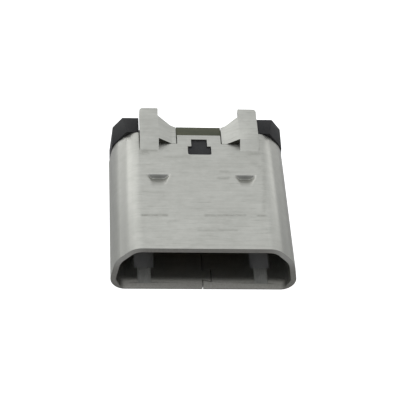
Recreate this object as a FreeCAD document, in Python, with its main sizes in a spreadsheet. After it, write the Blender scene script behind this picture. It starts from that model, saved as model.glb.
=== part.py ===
import FreeCAD, Part
import os

import Sketcher

# Board-edge charging socket: a folded sheet-metal shell round a moulded insulator with a contact
# tongue, five flat contacts and a rear retainer that closes the insulator behind the contacts.
# X is the width, +Y runs from the mouth to the board end, Z is up; the wide seamed face lies down.
# Every body is drawn with the mouth plane at Y = 0 and then moved by half the overall depth, so the
# origin is the centre of the footprint on the underside.

doc = FreeCAD.newDocument("charging_socket")
sheet = doc.addObject("Spreadsheet::Sheet", "Sizes")

SIZES = [
    # shell section
    ("shell_width", 7.40, "outside width of the shell"),
    ("shell_height", 2.35, "outside height of the shell"),
    ("sheet", 0.22, "thickness of the sheet metal"),
    ("shell_depth", 6.65, "mouth to rear edge of the shell"),
    ("flat_width", 5.65, "outside width of the narrow flat, to its sharp corners"),
    ("waist_width", 7.08, "outside width across the feet of the sloping shoulders"),
    ("shoulder_drop", 0.75, "outside height of the sloping shoulders"),
    ("flat_bend", 0.58, "inside radius of the bends beside the narrow flat"),
    ("side_bend", 0.78, "inside radius of the bends at the feet of the shoulders"),
    ("corner_bend", 0.38, "inside radius of the lower corners"),
    ("seam_gap", 0.03, "gap left between the folded edges"),
    ("lock_reach", 0.34, "how far a seam lock reaches across the seam"),
    ("lock_length", 0.48, "length of a seam lock at its neck"),
    ("lock_flare", 0.06, "widening of a seam lock on each side at its head"),
    ("lock_first", 0.32, "mouth to the neck of the first seam lock"),
    ("lock_last", 0.86, "neck of the last seam lock to the rear edge of the shell"),
    ("lip_run", 0.36, "depth of the bevel on the lower lip"),
    ("lip_rise", 0.17, "height of the bevel on the lower lip"),
    # latch windows in the wide face
    ("latch_spacing", 4.68, "centre distance of the latch windows"),
    ("latch_width", 0.80, "width of a latch window"),
    ("latch_start", 0.95, "mouth to the latch windows"),
    ("latch_length", 1.60, "length of a latch window"),
    ("ramp_width", 0.54, "width of the lead-in ramp before a latch window"),
    ("ramp_depth", 0.10, "depth of the lead-in ramp at the mouth"),
    # dents that stop the insulator
    ("dent_spacing", 3.59, "centre distance of the stop dents"),
    ("dent_front", 3.58, "mouth to the shallow end of the stop dents"),
    ("dent_ramp", 0.42, "length of a stop dent's front slope"),
    ("dent_wall", 0.16, "length of a stop dent's steep rear slope"),
    ("dent_wide", 0.88, "width of a stop dent at its rear slope"),
    ("dent_narrow", 0.44, "width of a stop dent at its front end"),
    ("dent_depth", 0.19, "depth of a stop dent where its slopes meet"),
    ("dent_edge", 0.01, "depth at which a stop dent's slopes begin"),
    # T window over the insulator
    ("tee_setback", 0.39, "rear edge of the T window to the rear edge of the shell"),
    ("tee_wide", 0.97, "width of the front part of the T window"),
    ("tee_wide_run", 0.50, "length of the front part of the T window"),
    ("tee_narrow", 0.66, "width of the rear part of the T window"),
    ("tee_narrow_run", 0.42, "length of the rear part of the T window"),
    ("tee_round", 0.08, "radius of the front corners of the T window"),
    # board end of the narrow flat
    ("bridge_setback", 0.14, "how far the strip behind the T window stops short of the rear edge"),
    ("slit", 0.04, "width of the shear slits beside the bridge and the ears"),
    ("slit_tip", 0.012, "width of the slits before the wings and at the front ends of the ears"),
    ("wing_inner", 1.90, "distance between the inner edges of the wings"),
    ("wing_foot", 2.30, "distance between the lower bends of the wings"),
    ("wing_setback", 0.65, "front edge of the wings to the rear edge of the shell"),
    ("wing_reach", 0.35, "how far the wings' inner edges run past the rear edge of the shell"),
    ("wing_outer_reach", 0.75, "how far the wings run past the rear edge of the shell at the ears"),
    ("ear_inner", 3.38, "distance between the inner edges of the ears"),
    ("ear_width", 0.78, "width of an ear"),
    ("ear_rise", 0.30, "height of the ears above the narrow flat"),
    ("ear_ramp", 0.40, "length of the ear ramps, which end level with the front edge of the wings"),
    ("ear_reach", 1.14, "how far the ears run past the rear edge of the shell"),
    ("ear_tip_run", 0.32, "length of the turned-up ear tips"),
    ("ear_tip_rise", 0.06, "rise of the turned-up ear tips"),
    ("ear_round", 0.14, "radius of the outer corner of the ear tips"),
    # insulator
    ("fit_gap", 0.02, "clearance between the insulator and the shell"),
    ("flange_length", 0.88, "thickness of the insulator flange behind the shell"),
    ("flange_flat", 6.34, "width of the flat on top of the flange at its rear"),
    ("flange_waist", 7.14, "width across the feet of the flange's sloping corners at its rear"),
    ("flange_foot", 7.42, "width of the flange at its foot, to its sharp corners"),
    ("flange_drop", 0.55, "height of the flange's sloping corners at its rear"),
    ("flange_front_drop", 0.80, "height of the flange's sloping corners where it meets the shell"),
    ("flange_corner", 0.45, "radius of the flange's lower corners"),
    ("notch_gap", 0.02, "clearance between the ears and the sides of the board notch"),
    ("tongue_front", 0.95, "mouth to the front of the tongue"),
    ("tongue_width", 3.70, "width of the tongue"),
    ("tongue_height", 0.60, "thickness of the tongue"),
    ("tongue_bevel", 0.14, "bevel on the front edge of the tongue"),
    ("tee_sink", 0.05, "depth of the T boss below the shell's surface"),
    ("tee_gap", 0.02, "clearance round the T boss"),
    # contacts and board
    ("board", 1.00, "thickness of the board that the ears and contacts clasp"),
    ("contact_spacing", 0.65, "centre distance of neighbouring contacts"),
    ("contact_width", 0.38, "width of a contact on the tongue"),
    ("tail_width", 0.30, "width of a contact tail"),
    ("contact_height", 0.15, "thickness of a contact"),
    ("contact_front", 1.20, "mouth to the front of the power contacts"),
    ("contact_stagger", 0.35, "how far the signal contacts start behind the power contacts"),
    ("contact_nose", 0.06, "bevel on the front end of a contact"),
    ("tail_reach", 0.10, "how far the contact tails run past the flange"),
    ("tail_inset", 0.05, "front face of the retainer to the step from contact to tail"),
    # retainer
    ("retainer_gap", 0.02, "clearance round the retainer"),
    ("retainer_length", 0.55, "front face of the retainer to the face that stops the board"),
    ("retainer_sink", 0.06, "depth of the retainer's pad below the shell's surface"),
    ("pad_gap", 0.015, "clearance between the retainer's pad and the wings"),
    ("key_reach", 0.14, "how far the retainer's keys reach into the flange"),
    ("key_height", 0.30, "height of the retainer's keys"),
    ("key_drop", 0.16, "distance of the keys below the retainer's shoulders"),
]
row = 1
for alias, value, note in SIZES:
    sheet.set("A%d" % row, alias)
    sheet.set("B%d" % row, str(value))
    sheet.set("C%d" % row, note)
    sheet.setAlias("B%d" % row, alias)
    row += 1

# Places and angles that several bodies share follow from the sizes above. The sides lean out from the
# shoulders' feet until they touch the round of the lower corners.
DERIVED = [
    ("ear_end", "=shell_depth + ear_reach"),
    ("overall_depth", "=ear_end"),
    ("overcut", "=2 * sheet"),
    ("half_width", "=shell_width / 2"),
    ("corner_radius", "=corner_bend + sheet"),
    ("corner_x", "=half_width - corner_radius"),
    ("waist_x", "=waist_width / 2"),
    ("waist_z", "=shell_height - shoulder_drop"),
    ("waist_reach", "=hypot(waist_x - corner_x; waist_z - corner_radius)"),
    ("side_lean", "=atan2(waist_z - corner_radius; waist_x - corner_x) - acos(corner_radius / waist_reach)"),
    ("shoulder_slope", "=atan2(shoulder_drop; waist_x - flat_width / 2)"),
    ("ear_under", "=shell_height + ear_rise - sheet"),
    ("contact_top", "=ear_under - board"),
    ("contact_under", "=contact_top - contact_height"),
    ("tongue_top", "=contact_under + tongue_height"),
    ("shoulder_top", "=shell_height - sheet - retainer_gap"),
    ("latch_end", "=latch_start + latch_length"),
    ("dent_deep", "=dent_front + dent_ramp"),
    ("dent_rear", "=dent_deep + dent_wall"),
    ("lock_step", "=(shell_depth - lock_first - lock_last) / 2"),
    ("tee_rear", "=shell_depth - tee_setback"),
    ("tee_step", "=tee_rear - tee_narrow_run"),
    ("tee_front", "=tee_step - tee_wide_run"),
    ("wing_start", "=shell_depth - wing_setback"),
    ("wing_end", "=shell_depth + wing_reach"),
    ("wing_outer_end", "=shell_depth + wing_outer_reach"),
    ("ear_ramp_start", "=wing_start - ear_ramp"),
    ("ear_fold", "=sheet * tan(atan2(ear_rise; ear_ramp) / 2)"),
    ("flange_end", "=shell_depth + fit_gap + flange_length"),
    ("flange_slope", "=(flange_waist - flange_flat) / 2 / flange_drop"),
    ("flange_side", "=(flange_foot - flange_waist) / 2 / (shell_height - flange_drop)"),
    ("flange_front_waist", "=flange_foot - 2 * flange_side * (shell_height - flange_front_drop)"),
    ("flange_front_flat", "=flange_front_waist - 2 * flange_slope * flange_front_drop"),
    ("ear_outer", "=ear_inner + 2 * ear_width"),
    ("notch_width", "=ear_outer + 2 * notch_gap"),
    ("bridge_end", "=shell_depth - bridge_setback"),
    ("retainer_front", "=bridge_end + retainer_gap"),
    ("retainer_end", "=retainer_front + retainer_length"),
    ("tail_start", "=retainer_front + tail_inset"),
    ("tail_end", "=flange_end + tail_reach"),
    ("block_front", "=dent_rear + fit_gap"),
]
for alias, formula in DERIVED:
    sheet.set("A%d" % row, alias)
    sheet.set("B%d" % row, formula)
    sheet.setAlias("B%d" % row, alias)
    row += 1
doc.recompute()

NAMES = sorted((entry[0] for entry in SIZES + DERIVED), key=len, reverse=True)


def bind(text):
    """Turn an expression in the sheet's words into one that other objects can read."""
    out = ""
    word = ""
    for char in text + " ":
        if char.isalnum() or char == "_":
            word += char
            continue
        out += "Sizes." + word if word in NAMES else word
        word = ""
        out += char
    return out.strip()


def number(text):
    """The present value of an expression in the sheet's words."""
    return float(sheet.evalExpression(bind(text)))


def new_body(name):
    """An empty body that is moved back by half the overall depth."""
    body = doc.addObject("PartDesign::Body", name)
    body.Label = name
    body.setExpression("Placement.Base.y", bind("-overall_depth / 2"))
    return body


def new_sketch(body, name, role, offset=None):
    """A sketch on one of the body's origin planes, moved along the plane's normal."""
    sketch = body.newObject("Sketcher::SketchObject", name)
    plane = [item for item in body.Origin.OriginFeatures if item.Role == role][0]
    sketch.AttachmentSupport = [(plane, "")]
    sketch.MapMode = "FlatFace"
    if offset:
        sketch.setExpression("AttachmentOffset.Base.z", bind(offset))
    return sketch


def outline(sketch, corners):
    """A closed polygon whose corners are held at expressions from the sketch's origin."""
    first = sketch.GeometryCount
    spots = [FreeCAD.Vector(number(a), number(b), 0) for a, b in corners]
    count = len(spots)
    for i in range(count):
        sketch.addGeometry(Part.LineSegment(spots[i], spots[(i + 1) % count]))
    for i in range(count):
        sketch.addConstraint(Sketcher.Constraint("Coincident", first + i, 2, first + (i + 1) % count, 1))
    for i, (a, b) in enumerate(corners):
        for kind, text, value in (("DistanceX", a, spots[i].x), ("DistanceY", b, spots[i].y)):
            index = sketch.addConstraint(Sketcher.Constraint(kind, -1, 1, first + i, 1, value))
            sketch.setExpression("Constraints[%d]" % index, bind(text))


def box_corners(x0, x1, y0, y1):
    """The corners of a rectangle, as expressions."""
    return [(x0, y0), (x1, y0), (x1, y1), (x0, y1)]


def mirrored(corners):
    """The same corners on the other side of the sketch's vertical axis."""
    return [("-(%s)" % a, b) for a, b in reversed(corners)]


def pad(body, name, sketch, length, reverse=False, midplane=False):
    """Extrude a sketch."""
    feature = body.newObject("PartDesign::Pad", name)
    feature.Profile = sketch
    feature.setExpression("Length", bind(length))
    feature.Reversed = reverse
    if midplane:
        feature.SideType = "Symmetric"
    sketch.Visibility = False
    return feature


def pocket(body, name, sketch, length, reverse=False, midplane=False):
    """Cut a sketch out of the body, and make sure that it removes something."""
    doc.recompute()
    before = body.Shape.Volume
    feature = body.newObject("PartDesign::Pocket", name)
    feature.Profile = sketch
    feature.setExpression("Length", bind(length))
    feature.Reversed = reverse
    if midplane:
        feature.SideType = "Symmetric"
    doc.recompute()
    if not body.Shape.Volume < before:
        raise RuntimeError("%s removes nothing" % name)
    return feature


# how near to parallel, and how near in millimetres, an edge that is looked for has to lie
PARALLEL = 1e-6
TOUCHING = 1e-4


def edges_at(body, spots, direction):
    """The names of straight edges that run along a direction through given points."""
    names = []
    for i, edge in enumerate(body.Tip.Shape.Edges):
        run = edge.Vertexes[-1].Point - edge.Vertexes[0].Point
        if abs(run.dot(direction)) < (1 - PARALLEL) * edge.Length:
            continue
        for spot in spots:
            if edge.distToShape(Part.Vertex(spot))[0] < TOUCHING:
                names.append("Edge%d" % (i + 1))
    return names


def round_edges(body, name, spots, direction, radius):
    """Fillet the edges through given points."""
    doc.recompute()
    base = body.Tip
    names = edges_at(body, spots, direction)
    if len(names) < len(spots):
        raise RuntimeError("%s finds too few edges" % name)
    feature = body.newObject("PartDesign::Fillet", name)
    feature.Base = (base, names)
    feature.setExpression("Radius", bind(radius))
    doc.recompute()
    return feature


X_AXIS = FreeCAD.Vector(1, 0, 0)
Y_AXIS = FreeCAD.Vector(0, 1, 0)
Z_AXIS = FreeCAD.Vector(0, 0, 1)


def spot(x, y, z):
    """A point at expressions from the body's origin."""
    return FreeCAD.Vector(number(x), number(y), number(z))


def tube_section(inset):
    """The right half of the tube's outside moved inwards by a distance: foot, waist and flat corners."""
    tilt = "(90deg + side_lean - shoulder_slope) / 2"
    opening = "cos((90deg - side_lean - shoulder_slope) / 2)"
    return [
        ("corner_x + (corner_radius - (%s)) * (1 + sin(side_lean)) / cos(side_lean)" % inset, inset),
        (
            "waist_x - (%s) * cos(%s) / %s" % (inset, tilt, opening),
            "waist_z - (%s) * sin(%s) / %s" % (inset, tilt, opening),
        ),
        ("flat_width / 2 - (%s) * tan(shoulder_slope / 2)" % inset, "shell_height - (%s)" % inset),
    ]


def bend_tube(body, name, half, y, inset):
    """Round the bends of a tube section, seen at a place along the tube, about the sheet's own centres."""
    for bend, (x, z) in zip(("corner_bend", "side_bend", "flat_bend"), half):
        both = [spot(x, y, z), spot("-(%s)" % x, y, z)]
        round_edges(body, "%s_%ss" % (name, bend), both, Y_AXIS, "%s + sheet - (%s)" % (bend, inset))


# shell: one sheet folded round into a tube, its edges meeting in a locked seam on the wide face
shell = new_body("shell")
sk = new_sketch(shell, "shell_outside", "XZ_Plane")
half = tube_section("0")
outline(sk, half + mirrored(half))
pad(shell, "shell_blank", sk, "shell_depth", reverse=True)
bend_tube(shell, "outer", half, "0", "0")
sk = new_sketch(shell, "shell_inside", "XZ_Plane")
half = tube_section("sheet")
outline(sk, half + mirrored(half))
pocket(shell, "shell_bore", sk, "shell_depth")
bend_tube(shell, "inner", half, "0", "sheet")

# bevel that guides the plug over the lower lip
sk = new_sketch(shell, "lip_bevel_profile", "YZ_Plane")
LIP_FOOT = "sheet - lip_rise"
outline(sk, [("-overcut", LIP_FOOT), ("0", LIP_FOOT), ("lip_run", "sheet"), ("-overcut", "sheet + overcut")])
pocket(shell, "lip_bevel", sk, "2 * corner_x", midplane=True)

# latch windows, each with a lead-in ramp from the lip
sk = new_sketch(shell, "latch_window_outlines", "XY_Plane")
window = box_corners(
    "latch_spacing / 2 - latch_width / 2", "latch_spacing / 2 + latch_width / 2", "latch_start", "latch_end"
)
outline(sk, window)
outline(sk, mirrored(window))
pocket(shell, "latch_windows", sk, "overcut", reverse=True)
RAMP_FOOT = "sheet - ramp_depth"
RAMP_PROFILE = [
    ("-overcut", RAMP_FOOT),
    ("0", RAMP_FOOT),
    ("latch_start", "sheet"),
    ("-overcut", "sheet + overcut"),
]
for side, sign in (("left", "-"), ("right", "")):
    sk = new_sketch(shell, "ramp_profile_" + side, "YZ_Plane", "%slatch_spacing / 2" % sign)
    outline(sk, RAMP_PROFILE)
    pocket(shell, "ramp_" + side, sk, "ramp_width", midplane=True)

# seam with dovetail locks
LEFT = "-seam_gap / 2"
RIGHT = "seam_gap / 2"
left_edge = [(LEFT, "-overcut")]
right_edge = [(RIGHT, "-overcut")]
for lock in ("0", "1", "2"):
    neck = "lock_first + %s * lock_step" % lock
    far = neck + " + lock_length"
    left_edge += [
        (LEFT, neck + " + seam_gap / 2"),
        ("lock_reach - seam_gap / 2", neck + " - lock_flare + seam_gap / 2"),
        ("lock_reach - seam_gap / 2", far + " + lock_flare - seam_gap / 2"),
        (LEFT, far + " - seam_gap / 2"),
    ]
    right_edge += [
        (RIGHT, neck + " - seam_gap / 2"),
        ("lock_reach + seam_gap / 2", neck + " - lock_flare - seam_gap / 2"),
        ("lock_reach + seam_gap / 2", far + " + lock_flare + seam_gap / 2"),
        (RIGHT, far + " + seam_gap / 2"),
    ]
left_edge.append((LEFT, "shell_depth + overcut"))
right_edge.append((RIGHT, "shell_depth + overcut"))
sk = new_sketch(shell, "seam_outline", "XY_Plane")
outline(sk, left_edge + right_edge[::-1])
pocket(shell, "seam", sk, "overcut", reverse=True)

# T window in the narrow flat
sk = new_sketch(shell, "tee_outline", "XY_Plane", "shell_height + overcut")
TEE = [
    ("tee_wide / 2", "tee_front"),
    ("tee_wide / 2", "tee_step"),
    ("tee_narrow / 2", "tee_step"),
    ("tee_narrow / 2", "tee_rear"),
    ("-tee_narrow / 2", "tee_rear"),
    ("-tee_narrow / 2", "tee_step"),
    ("-tee_wide / 2", "tee_step"),
    ("-tee_wide / 2", "tee_front"),
]
outline(sk, TEE)
pocket(shell, "tee_window", sk, "2 * overcut")
round_edges(
    shell,
    "tee_window_corners",
    [
        spot("tee_wide / 2", "tee_front", "shell_height - sheet / 2"),
        spot("-tee_wide / 2", "tee_front", "shell_height - sheet / 2"),
    ],
    Z_AXIS,
    "tee_round",
)

# board end of the narrow flat: the sheet is sheared into a middle bridge, two wings and two ears
sk = new_sketch(shell, "board_end_outline", "XY_Plane", "shell_height + overcut")
half = [
    ("wing_inner / 2 - slit", "bridge_end"),
    ("wing_inner / 2 - slit", "wing_start - slit_tip"),
    ("ear_inner / 2", "wing_start - slit_tip"),
    ("ear_inner / 2", "ear_ramp_start"),
    ("ear_outer / 2 + slit_tip", "ear_ramp_start"),
    ("ear_outer / 2 + slit", "shell_depth + overcut"),
]
outline(sk, half + mirrored(half))
pocket(shell, "board_end", sk, "2 * overcut")

EAR_TOP = "shell_height + ear_rise"
TIP_START = "ear_end - ear_tip_run"
EAR_PROFILE = [
    ("ear_ramp_start - sheet", "shell_height"),
    ("ear_ramp_start", "shell_height"),
    ("wing_start", EAR_TOP),
    (TIP_START, EAR_TOP),
    ("ear_end", EAR_TOP + " + ear_tip_rise"),
    ("ear_end", EAR_TOP + " + ear_tip_rise - sheet"),
    (TIP_START, EAR_TOP + " - sheet"),
    ("wing_start + ear_fold", EAR_TOP + " - sheet"),
    ("ear_ramp_start + ear_fold", "shell_height - sheet"),
    ("ear_ramp_start - sheet", "shell_height - sheet"),
]
WING_PROFILE = [
    ("wing_inner / 2", "shell_height"),
    ("wing_inner / 2", "shell_height - sheet"),
    ("wing_foot / 2", "shell_height - sheet"),
    ("ear_inner / 2", EAR_TOP + " - sheet"),
    ("ear_inner / 2 + sheet", EAR_TOP + " - sheet"),
    ("ear_inner / 2 + sheet", EAR_TOP),
    ("ear_inner / 2", EAR_TOP),
    ("wing_foot / 2", "shell_height"),
]
WING_TRIM = [
    ("ear_inner / 2", "wing_outer_end"),
    ("wing_inner / 2", "wing_end"),
    ("0", "wing_end"),
    ("0", "ear_end"),
    ("ear_inner / 2", "ear_end"),
]
for side, sign in (("left", "-"), ("right", "")):
    sk = new_sketch(shell, "wing_profile_" + side, "XZ_Plane", "-wing_start")
    outline(sk, WING_PROFILE if sign == "" else mirrored(WING_PROFILE))
    pad(shell, "wing_" + side, sk, "wing_outer_end - wing_start", reverse=True)
for side, sign in (("left", "-"), ("right", "")):
    sk = new_sketch(shell, "wing_trim_outline_" + side, "XY_Plane", EAR_TOP + " + overcut")
    outline(sk, WING_TRIM if sign == "" else mirrored(WING_TRIM))
    pocket(shell, "wing_trim_" + side, sk, "ear_rise + 2 * overcut")
for side, sign in (("left", "-"), ("right", "")):
    sk = new_sketch(shell, "ear_profile_" + side, "YZ_Plane", "%s(ear_inner + ear_width) / 2" % sign)
    outline(sk, EAR_PROFILE)
    pad(shell, "ear_" + side, sk, "ear_width", midplane=True)

# dents pressed in from above, which stop the insulator from sliding forward: a long front slope that widens
# to the rear and a short steep slope behind it; the boss under the sheet has the form of the hollow above
SLOPES = [
    ("front", "dent_front", "dent_narrow / 2", "dent_edge", "dent_deep", "dent_wide / 2", "dent_depth"),
    ("rear", "dent_deep", "dent_wide / 2", "dent_depth", "dent_rear", "dent_wide / 2", "dent_edge"),
]
for side, sign in (("left", "-"), ("right", "")):
    for kind, form, top in (
        ("boss", "PartDesign::AdditiveWedge", "shell_height - sheet"),
        ("hollow", "PartDesign::SubtractiveWedge", "shell_height"),
    ):
        for slope, y0, half0, deep0, y1, half1, deep1 in SLOPES:
            wedge = shell.newObject(form, "dent_%s_%s_%s" % (kind, slope, side))
            plane = [item for item in shell.Origin.OriginFeatures if item.Role == "XY_Plane"][0]
            wedge.AttachmentSupport = [(plane, "")]
            wedge.MapMode = "FlatFace"
            wedge.setExpression("AttachmentOffset.Base.x", bind("%sdent_spacing / 2" % sign))
            for name, text in (
                ("Ymin", y0),
                ("Ymax", y1),
                ("Xmin", "-" + half0),
                ("Xmax", half0),
                ("Zmin", "%s - %s" % (top, deep0)),
                ("Zmax", top + " + dent_edge"),
                ("X2min", "-" + half1),
                ("X2max", half1),
                ("Z2min", "%s - %s" % (top, deep1)),
                ("Z2max", top + " + dent_edge"),
            ):
                wedge.setExpression(name, bind(text))
doc.recompute()

round_edges(
    shell,
    "ear_tip_corners",
    [
        spot("ear_outer / 2", "ear_end", EAR_TOP + " + ear_tip_rise - sheet / 2"),
        spot("-ear_outer / 2", "ear_end", EAR_TOP + " + ear_tip_rise - sheet / 2"),
    ],
    Z_AXIS,
    "ear_round",
)

# insulator: one moulding with a block in the tube, the tongue, the flange behind the shell and the T boss
insulator = new_body("insulator")
sk = new_sketch(insulator, "block_section", "XZ_Plane", "-block_front")
half = tube_section("sheet + fit_gap")
outline(sk, half + mirrored(half))
pad(insulator, "block", sk, "flange_end - block_front", reverse=True)
bend_tube(insulator, "block", half, "block_front", "sheet + fit_gap")

# the flange's upper corners slope, and the slopes cut deeper towards the shell
sections = []
for place, y, waist, drop, flat in (
    ("front", "shell_depth + fit_gap", "flange_front_waist", "flange_front_drop", "flange_front_flat"),
    ("rear", "flange_end", "flange_waist", "flange_drop", "flange_flat"),
):
    sk = new_sketch(insulator, "flange_%s_section" % place, "XZ_Plane", "-(%s)" % y)
    half = [
        ("flange_foot / 2", "0"),
        (waist + " / 2", "shell_height - " + drop),
        (flat + " / 2", "shell_height"),
    ]
    outline(sk, half + mirrored(half))
    sections.append(sk)
flange = insulator.newObject("PartDesign::AdditiveLoft", "flange")
flange.Profile = sections[0]
flange.Sections = sections[1:]
flange.Ruled = True
round_edges(
    insulator,
    "flange_corners",
    [spot("flange_foot / 2", "flange_end", "0"), spot("-flange_foot / 2", "flange_end", "0")],
    Y_AXIS,
    "flange_corner",
)

# board notch over the ledge that carries the tails, with grooves for the retainer's keys
sk = new_sketch(insulator, "board_notch_outline", "XY_Plane", "contact_top")
outline(sk, box_corners("-notch_width / 2", "notch_width / 2", "bridge_end", "ear_end"))
pocket(insulator, "board_notch", sk, "shell_height", reverse=True)
sk = new_sketch(insulator, "tail_ledge_outline", "XY_Plane", "contact_under")
outline(sk, box_corners("-notch_width / 2", "notch_width / 2", "retainer_end", "ear_end"))
pocket(insulator, "tail_ledge", sk, "shell_height", reverse=True)
KEY_TOP = "shoulder_top - key_drop"
sk = new_sketch(insulator, "key_groove_section", "XZ_Plane", "-bridge_end")
GROOVE_X = "notch_width / 2 + key_reach"
GROOVE_FOOT = KEY_TOP + " - key_height - retainer_gap"
outline(sk, box_corners("-(%s)" % GROOVE_X, GROOVE_X, GROOVE_FOOT, KEY_TOP + " + retainer_gap"))
pocket(insulator, "key_grooves", sk, "ear_end - bridge_end")

# tongue in the mouth
sk = new_sketch(insulator, "tongue_plan", "XY_Plane", "contact_under")
outline(
    sk,
    [
        ("-tongue_width / 2", "block_front + fit_gap"),
        ("-tongue_width / 2", "tongue_front + tongue_bevel"),
        ("-tongue_width / 2 + tongue_bevel", "tongue_front"),
        ("tongue_width / 2 - tongue_bevel", "tongue_front"),
        ("tongue_width / 2", "tongue_front + tongue_bevel"),
        ("tongue_width / 2", "block_front + fit_gap"),
    ],
)
pad(insulator, "tongue", sk, "tongue_height")
doc.recompute()
front_edges = edges_at(
    insulator,
    [spot("0", "tongue_front", "contact_under"), spot("0", "tongue_front", "tongue_top")],
    X_AXIS,
)
bevel = insulator.newObject("PartDesign::Chamfer", "tongue_front_bevels")
bevel.Base = (insulator.getObject("tongue"), front_edges)
bevel.setExpression("Size", bind("tongue_bevel"))

# T boss that fills the window in the shell
sk = new_sketch(insulator, "tee_boss_outline", "XY_Plane", "shell_height - tee_sink")
outline(
    sk,
    [
        ("tee_wide / 2 - tee_gap", "tee_front + tee_gap"),
        ("tee_wide / 2 - tee_gap", "tee_step - tee_gap"),
        ("tee_narrow / 2 - tee_gap", "tee_step - tee_gap"),
        ("tee_narrow / 2 - tee_gap", "tee_rear - tee_gap"),
        ("-tee_narrow / 2 + tee_gap", "tee_rear - tee_gap"),
        ("-tee_narrow / 2 + tee_gap", "tee_step - tee_gap"),
        ("-tee_wide / 2 + tee_gap", "tee_step - tee_gap"),
        ("-tee_wide / 2 + tee_gap", "tee_front + tee_gap"),
    ],
)
pad(insulator, "tee_boss", sk, "sheet", reverse=True)
round_edges(
    insulator,
    "tee_boss_corners",
    [
        spot("tee_wide / 2 - tee_gap", "tee_front + tee_gap", "shell_height - sheet / 2"),
        spot("-tee_wide / 2 + tee_gap", "tee_front + tee_gap", "shell_height - sheet / 2"),
    ],
    Z_AXIS,
    "tee_round",
)

# contacts: flat strips pressed into the insulator from the board end, the outer two reaching further forward
CONTACTS = 5
for i in range(CONTACTS):
    outermost = i in (0, CONTACTS - 1)
    front = "contact_front" if outermost else "contact_front + contact_stagger"
    shift = "(%d - %d) * contact_spacing" % (i, (CONTACTS - 1) // 2)
    plan = [
        ("-contact_width / 2", "tail_start"),
        ("-contact_width / 2", front),
        ("contact_width / 2", front),
        ("contact_width / 2", "tail_start"),
        ("tail_width / 2", "tail_start + contact_height"),
        ("tail_width / 2", "tail_end"),
        ("-tail_width / 2", "tail_end"),
        ("-tail_width / 2", "tail_start + contact_height"),
    ]
    contact = new_body("contact_%d" % (i + 1))
    contact.setExpression("Placement.Base.x", bind(shift))
    sk = new_sketch(contact, "contact_plan_%d" % (i + 1), "XY_Plane", "contact_under")
    outline(sk, plan)
    pad(contact, "contact_strip_%d" % (i + 1), sk, "contact_height")
    doc.recompute()
    nose = edges_at(contact, [spot("0", front, "contact_under")], X_AXIS)
    tip = contact.newObject("PartDesign::Chamfer", "contact_nose_%d" % (i + 1))
    tip.Base = (contact.getObject("contact_strip_%d" % (i + 1)), nose)
    tip.setExpression("Size", bind("contact_nose"))
    sk = new_sketch(insulator, "channel_plan_%d" % (i + 1), "XY_Plane", "contact_under")
    outline(sk, [("%s + (%s)" % (shift, a), "ear_end" if b == "tail_end" else b) for a, b in plan])
    pocket(insulator, "channel_%d" % (i + 1), sk, "contact_height", reverse=True)

# retainer: a bar between the flange's arms that holds the contacts down and stops the board
retainer = new_body("retainer")
sk = new_sketch(retainer, "retainer_section", "XZ_Plane", "-retainer_front")
BAR_X = "notch_width / 2 - retainer_gap"
KEY_X = "notch_width / 2 + key_reach - retainer_gap"
PAD_TOP = "shell_height - retainer_sink"
half = [
    (BAR_X, "contact_top"),
    (BAR_X, KEY_TOP + " - key_height"),
    (KEY_X, KEY_TOP + " - key_height"),
    (KEY_X, KEY_TOP),
    (BAR_X, KEY_TOP),
    (BAR_X, "shoulder_top"),
    ("wing_inner / 2 - pad_gap", "shoulder_top"),
    ("wing_inner / 2 - pad_gap", PAD_TOP),
]
outline(sk, half + mirrored(half))
pad(retainer, "retainer_bar", sk, "retainer_end - retainer_front", reverse=True)

doc.recompute()
for item in doc.Objects:
    if "Invalid" in item.State or "Error" in item.State:
        raise RuntimeError("%s did not build" % item.Name)
pieces = [item for item in doc.Objects if item.TypeId == "PartDesign::Body"]
for piece in pieces:
    if piece.Shape.isNull() or not piece.Shape.isValid() or len(piece.Shape.Solids) != 1:
        raise RuntimeError("%s is not one sound solid" % piece.Label)
os.makedirs("parts", exist_ok=True)
for piece in pieces:
    piece.Shape.exportStep(os.path.join("parts", piece.Label + ".step"))
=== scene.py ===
import math

import bmesh
import bpy
from mathutils import Matrix, Vector


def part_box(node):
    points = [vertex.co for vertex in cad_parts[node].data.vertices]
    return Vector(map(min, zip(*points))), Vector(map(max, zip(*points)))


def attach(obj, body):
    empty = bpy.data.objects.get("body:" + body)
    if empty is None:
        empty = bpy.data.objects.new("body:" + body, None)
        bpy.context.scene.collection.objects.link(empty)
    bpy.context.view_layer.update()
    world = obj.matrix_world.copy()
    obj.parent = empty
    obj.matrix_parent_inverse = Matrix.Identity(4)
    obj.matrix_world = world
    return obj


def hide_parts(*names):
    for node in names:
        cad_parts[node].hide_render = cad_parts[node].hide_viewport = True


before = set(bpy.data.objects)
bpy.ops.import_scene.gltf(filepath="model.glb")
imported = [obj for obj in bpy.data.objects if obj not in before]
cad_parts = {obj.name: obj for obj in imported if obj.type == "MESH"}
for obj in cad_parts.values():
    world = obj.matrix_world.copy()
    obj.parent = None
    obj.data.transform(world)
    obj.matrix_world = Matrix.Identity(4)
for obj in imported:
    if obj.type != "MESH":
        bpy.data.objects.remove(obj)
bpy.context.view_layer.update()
MM = 0.001

# Shell. One piece of thin steel strip, stamped, folded round into a trapezoid tube and plated; its edges
# lock in a dovetailed seam underneath. The punch leaves the mouth's edge rolled over on the outside, and
# two soft dents are pressed into the flat to stop the insulator.
PUNCH_ROLL = 0.065 * MM
FLAT_ROLL = 0.034 * MM
CUT_BREAK = 0.009 * MM
FACET_ANGLE = math.radians(32)
PLANE_ANGLE = math.radians(0.4)
# corners closer than SNAP are joined, sizes closer than NEAR are taken as equal, and a face is square on to
# an axis where its normal leans that way by more than SQUARE_ON
SNAP = 0.0002 * MM
NEAR = 0.001 * MM
SQUARE_ON = 0.90


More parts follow.
